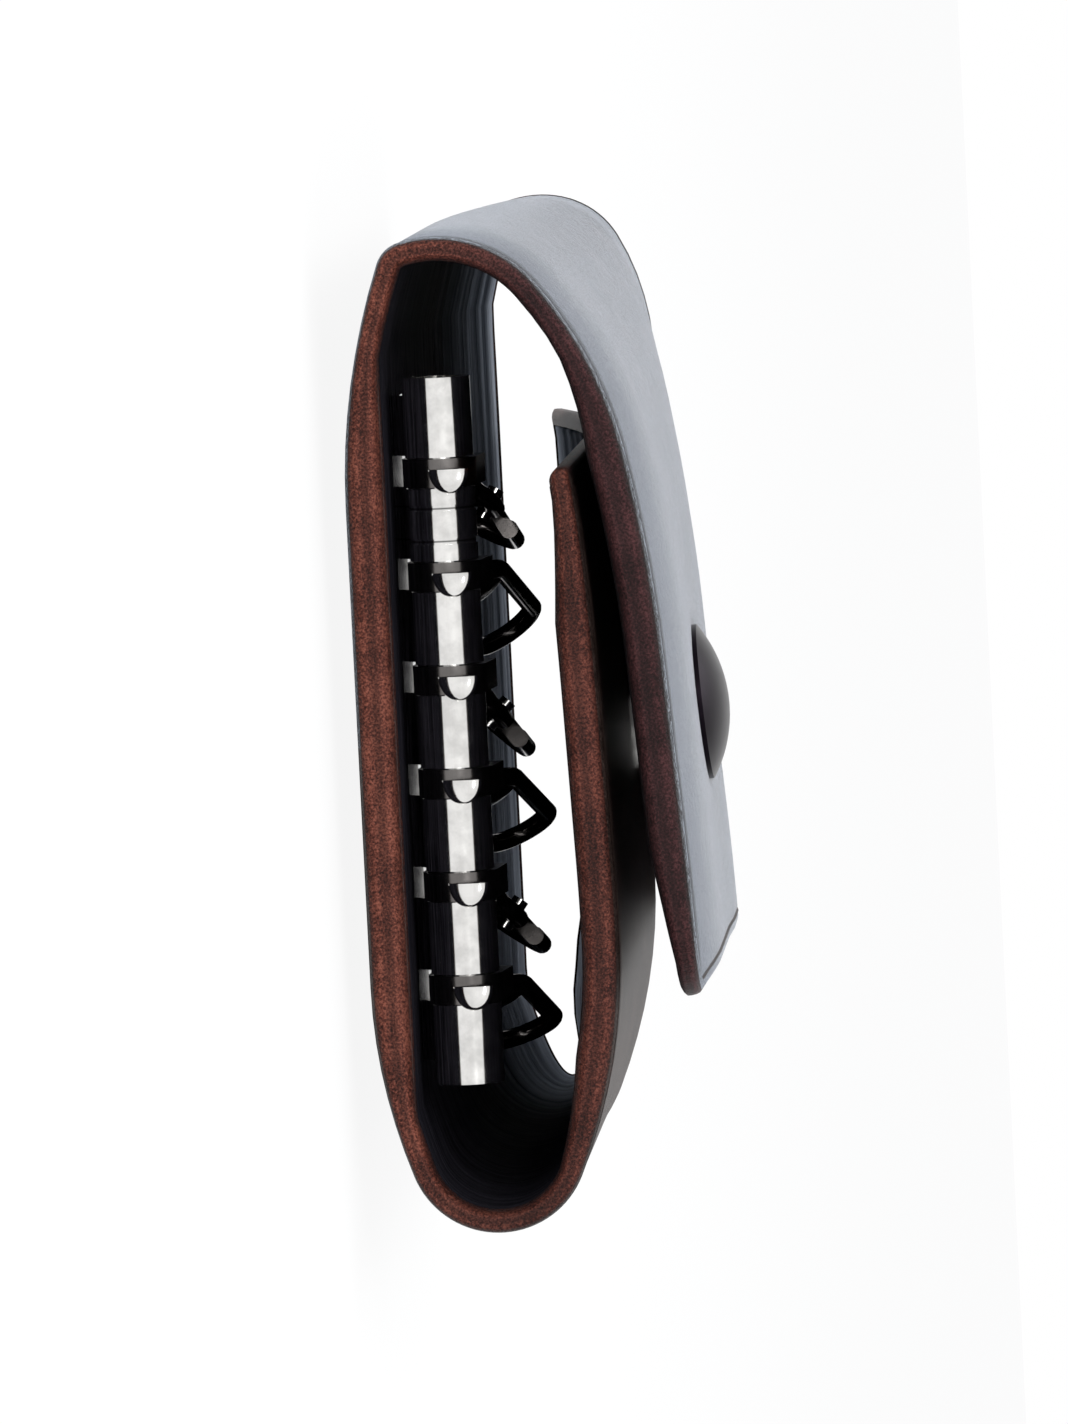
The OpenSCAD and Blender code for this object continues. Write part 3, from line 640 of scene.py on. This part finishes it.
flap_inside = lining_panel("flap_inside", 0, crown_s, flap_corner_r)
back_inside = lining_panel("back_inside", crown_s, back_s, 0)
front_inside = lining_panel("front_inside", back_s, strip_end, 0)
for piece in (flap_inside, back_inside, front_inside):
    fold(piece, lambda s, z: leather_t(s) - sunk_in_edge + z)
    choose(piece)
    bpy.ops.object.shade_smooth()
black_lining = bpy.data.materials.new("black_lining")
tree, skin = shader(black_lining)
place_on_case = tree.nodes.new("ShaderNodeTexCoord").outputs["Object"]
rib_stretch = (0.05, 1, 0.05)
stretched = tree.nodes.new("ShaderNodeMapping")
stretched.inputs["Scale"].default_value = rib_stretch
tree.links.new(place_on_case, stretched.inputs["Vector"])
broad_ribs = noise_texture(tree, stretched.outputs["Vector"], scale=420, detail=2)
fine_ribs = noise_texture(tree, stretched.outputs["Vector"], scale=2600, detail=3, roughness=0.6)
black_shades = [(0.3, (0.004, 0.004, 0.006)), (0.7, (0.03, 0.028, 0.036))]
# Painted reflection: the lining turns pale grey towards its far end.
painted_reflection_shades = [(0.3, (0.1, 0.115, 0.14)), (0.7, (0.5, 0.54, 0.61))]
painted_reflection_from = 0.012
painted_reflection_to = 0.05
painted_reflection_share = share_along(tree, place_on_case, "Y", painted_reflection_from, painted_reflection_to)
black_colour, painted_reflection_colour, black_with_painted_reflection = colour_mix(tree, painted_reflection_share, "MIX")
tree.links.new(ramp(tree, fine_ribs, black_shades), black_colour)
tree.links.new(ramp(tree, broad_ribs, painted_reflection_shades), painted_reflection_colour)
tree.links.new(black_with_painted_reflection, skin.inputs["Base Color"])
skin.inputs["Roughness"].default_value = 0.6
skin.inputs["Specular IOR Level"].default_value = 0.0004
ribbed = bump(tree, broad_ribs, strength=0.6, distance=0.002)
finely_ribbed = bump(tree, fine_ribs, strength=0.6, distance=0.0006, under=ribbed)
tree.links.new(finely_ribbed, skin.inputs["Normal"])
for piece in (flap_inside, back_inside, front_inside):
    piece.data.materials.append(black_lining)
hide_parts("flap_lining")
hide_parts("back_lining", "spine_lining")
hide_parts("front_lining")
bend_with_case(flap_inside, back_inside, front_inside)


# The key row's plate is bright plated sheet steel, rolled into knuckles round a wire axle. Two rivets
# with the same plating clinch it through the lining and the board, on washers.
def metal(name, colour, roughness, scratch):
    """A plated or blackened metal with faint wear in its shine."""
    made = bpy.data.materials.new(name)
    tree, coat = shader(made)
    coordinates = tree.nodes.new("ShaderNodeTexCoord").outputs["Object"]
    wear = noise_texture(tree, coordinates, scale=700, detail=4)
    coat.inputs["Metallic"].default_value = 1
    dimmed = 0.8
    darker = tuple(dimmed * c for c in colour)
    tree.links.new(ramp(tree, wear, [(0.35, darker), (0.65, colour)]), coat.inputs["Base Color"])
    spread = tree.nodes.new("ShaderNodeMapRange")
    spread.inputs["To Min"].default_value = roughness
    spread.inputs["To Max"].default_value = roughness + scratch
    tree.links.new(wear, spread.inputs["Value"])
    tree.links.new(spread.outputs["Result"], coat.inputs["Roughness"])
    return made


plating = {"colour": (0.82, 0.81, 0.79), "roughness": 0.06, "scratch": 0.1}
bright_plate = metal("bright_plate", **plating)


def finish_nodes(names, material):
    """Gives these solids this one material."""
    for name in names:
        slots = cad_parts[name].data.materials
        slots.clear()
        slots.append(material)
        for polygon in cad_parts[name].data.polygons:
            polygon.material_index = 0


finish_nodes(["row_axle", "row_rivets", "row_washers"], bright_plate)

# Two thin creases are pressed into the second knuckle of the row's plate, one near each of its ends. Only
# their shade is drawn, as painted shade: dark lines across its plating.
row_plate_metal = metal("row_plate_metal", **plating)
tree, coat = shader(row_plate_metal)
place_on_case = tree.nodes.new("ShaderNodeTexCoord").outputs["Object"]
knuckle_from = -0.0185
knuckle_to = -0.0135
along_knuckle = share_along(tree, place_on_case, "X", knuckle_from, knuckle_to)
plain = (1, 1, 1)
painted_crease_shade = (0.08, 0.08, 0.08)
painted_crease_lines = [(0.13, plain), (0.154, painted_crease_shade), (0.178, plain), (0.826, plain), (0.85, painted_crease_shade), (0.874, plain)]
plated = coat.inputs["Base Color"].links[0].from_socket
creased = multiplied(tree, plated, ramp(tree, along_knuckle, painted_crease_lines))
tree.links.new(creased, coat.inputs["Base Color"])
finish_nodes(["row_plate"], row_plate_metal)

# The press stud is stamped from sheet metal. Its socket, grip spring, stud and eyelet are bright plated,
# and the domed cap on the flap's outer face is dull dark bronze.
finish_nodes(["snap_socket", "snap_spring", "snap_stud", "snap_eyelet"], bright_plate)
dull_bronze = metal("dull_bronze", (0.012, 0.009, 0.013), roughness=0.28, scratch=0.1)
finish_nodes(["snap_cap"], dull_bronze)

# Six eyes, bent from black strap, hang on the axle. On its near side each has a half-round boss of bright
# plating, with its straight edge towards the top fold: a painted highlight on the strap.
hook_count = 6
hook_numbers = range(1, hook_count + 1)
row_middle = (hook_count + 1) / 2
hook_pitch = 0.008
axle_y = -0.0435
axle_z = 0.0068
eye_r = 0.00288
rest_lifts = [4, 6.5, 5, 7, 5.5, 6]


def eye_frame(number):
    """Places things drawn from the middle of the axle on one eye, as it hangs at rest."""
    place_on_axle = Matrix.Translation(((number - row_middle) * hook_pitch, axle_y, axle_z))
    return place_on_axle @ Matrix.Rotation(math.radians(rest_lifts[number - 1]), 4, "X")


def smooth_object(piece):
    """Shades a piece smooth, but for the edges that turn more than this."""
    smoothed_turn = math.radians(40)
    choose(piece)
    bpy.ops.object.shade_smooth_by_angle(angle=smoothed_turn)


def copies_on(pattern, name, frame_of, body, replaced):
    """Six copies of a piece, each with its own mesh, on the six eyes or hooks."""
    for number in hook_numbers:
        piece = pattern.copy()
        piece.data = pattern.data.copy()
        piece.name = f"{name}_{number}"
        bpy.context.collection.objects.link(piece)
        piece.data.transform(frame_of(number))
        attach(piece, f"{body}_{number}")
        if replaced:
            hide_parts(f"{replaced}_{number}")
    bpy.data.objects.remove(pattern)


boss_size = Vector((0.0019, 0.0006, 0.00155))
boss_place = Vector((-0.0003, -eye_r + 0.0001, 0.001))
bpy.ops.mesh.primitive_uv_sphere_add(segments=32, ring_count=16, radius=1)
boss = bpy.context.object
bpy.ops.object.mode_set(mode="EDIT")
bpy.ops.transform.resize(value=boss_size)
bpy.ops.mesh.bisect(plane_co=(0, 0, 0), plane_no=(1, 0, 0), clear_inner=True, use_fill=True)
bpy.ops.mesh.select_all(action="SELECT")
bpy.ops.transform.translate(value=boss_place)
bpy.ops.object.mode_set(mode="OBJECT")
smooth_object(boss)
# The boss's bright plating is a painted highlight.
boss.data.materials.append(bright_plate)
copies_on(boss, "eye_highlight_boss", eye_frame, "eye", None)
black_nickel = metal("black_nickel", (0.16, 0.15, 0.145), roughness=0.1, scratch=0.15)
finish_nodes([f"eye_{number}" for number in hook_numbers], black_nickel)

# Each hook is one black casting: a leaf-shaped head on a round collar, and a rod that runs round the
# loop's tip and back to a nose over the mouth. The collar's brighter nickel is a painted highlight. A rivet
# through the collar holds it in its eye, and it turns on that.
rest_leans = [15, 15.4, 15, 15.4, 15, 15.4]
seen_turns = [-62, 56, -48, 64, -56, 70]
lean_y = 0.0047
collar_from = 0.0055
collar_r = 0.0017
loop_collar_length = 0.0023
head_from = 0.0072
head_end = 0.0145
head_r = 0.0035
head_t = 0.0022
loop_mid_r = 0.00275
rod_r = 0.00075
straight_from = 0.0122
straight_to = 0.0262
nose_from = 0.0226


def hook_frame(number):
    """Places things drawn along a hook, as it leans and turns in its eye at rest."""
    leaned = Matrix.Rotation(math.radians(-rest_leans[number - 1]), 4, "Z")
    turned = Matrix.Rotation(math.radians(seen_turns[number - 1]), 4, "Y")
    out = Matrix.Translation((0, lean_y, 0))
    return eye_frame(number) @ out @ leaned @ turned @ out.inverted()


rod_sides = 16
bpy.ops.mesh.primitive_torus_add(
    major_radius=loop_mid_r, minor_radius=rod_r, major_segments=40, minor_segments=rod_sides
)
rod = bpy.context.object
just_past = 0.00001
bpy.ops.object.mode_set(mode="EDIT")
bpy.ops.mesh.select_all(action="SELECT")
bpy.ops.mesh.bisect(plane_co=(0, 2 * just_past, 0), plane_no=(0, 1, 0))
bpy.ops.object.mode_set(mode="OBJECT")
for vertex in rod.data.vertices:
    vertex.co.y += straight_to if vertex.co.y > just_past else straight_from
bpy.ops.object.mode_set(mode="EDIT")
cut_rows([], [head_end, nose_from])


def in_mouth(v):
    return v.co.x > 0 and head_end - nearly < v.co.y < nose_from + nearly


select(lambda face: all(in_mouth(v) for v in face.verts))
bpy.ops.mesh.delete(type="FACE")
bpy.ops.mesh.select_all(action="SELECT")
bpy.ops.mesh.fill_holes(sides=rod_sides)
bpy.ops.object.mode_set(mode="OBJECT")

bpy.ops.mesh.primitive_uv_sphere_add(segments=32, ring_count=16, radius=1)
leaf = bpy.context.object
leaf.data.transform(Matrix.Diagonal((head_r, (head_end - head_from) / 2, head_t / 2, 1)))
leaf.data.transform(Matrix.Translation((0, (head_from + head_end) / 2, 0)))
slimmest = 0.62
for vertex in leaf.data.vertices:
    vertex.co.x *= slimmest + (1 - slimmest) * smooth_share(vertex.co.y, head_from, head_end)
bpy.ops.mesh.primitive_cylinder_add(vertices=32, radius=collar_r, depth=loop_collar_length)
collar = bpy.context.object
collar.data.transform(Matrix.Rotation(math.pi / 2, 4, "X"))
collar.data.transform(Matrix.Translation((0, collar_from + loop_collar_length / 2, 0)))
# Painted highlight: the collars get a brighter nickel than the rest of the hook.
painted_highlight_nickel = metal("painted_highlight_nickel", (0.5, 0.48, 0.45), roughness=0.12, scratch=0.2)
bpy.ops.object.select_all(action="DESELECT")
for part in (leaf, collar, rod):
    part.data.materials.append(painted_highlight_nickel if part == collar else black_nickel)
    part.select_set(True)
bpy.context.view_layer.objects.active = rod
bpy.ops.object.join()
smooth_object(rod)
copies_on(rod, "cast_hook", hook_frame, "hook", "hook")
finish_nodes([f"swivel_{number}" for number in hook_numbers], black_nickel)

# A sprung leaf of blackened steel closes each hook's mouth. It turns on a bright pin, pressed through the
# foot of the loop.
gate_x = 0.0023
gate_foot = 0.0135
gate_tip = 0.0246
gate_thin = 0.0005
gate_w = 0.0014
bpy.ops.mesh.primitive_cube_add(size=1)
gate = bpy.context.object
gate.data.transform(Matrix.Diagonal((gate_thin, gate_tip - gate_foot, gate_w, 1)))
gate.data.transform(Matrix.Translation((gate_x, (gate_tip + gate_foot) / 2, 0)))
gate.data.materials.append(black_nickel)
copies_on(gate, "sprung_gate", hook_frame, "gate", "gate")
pin_r = 0.00065
pin_length = 0.0026
bpy.ops.mesh.primitive_cylinder_add(vertices=20, radius=pin_r, depth=pin_length)
pin = bpy.context.object
pin.data.transform(Matrix.Translation((gate_x, gate_foot, 0)))
smooth_object(pin)
pin.data.materials.append(bright_plate)
copies_on(pin, "mouth_pin", hook_frame, "hook", "gate_pin")
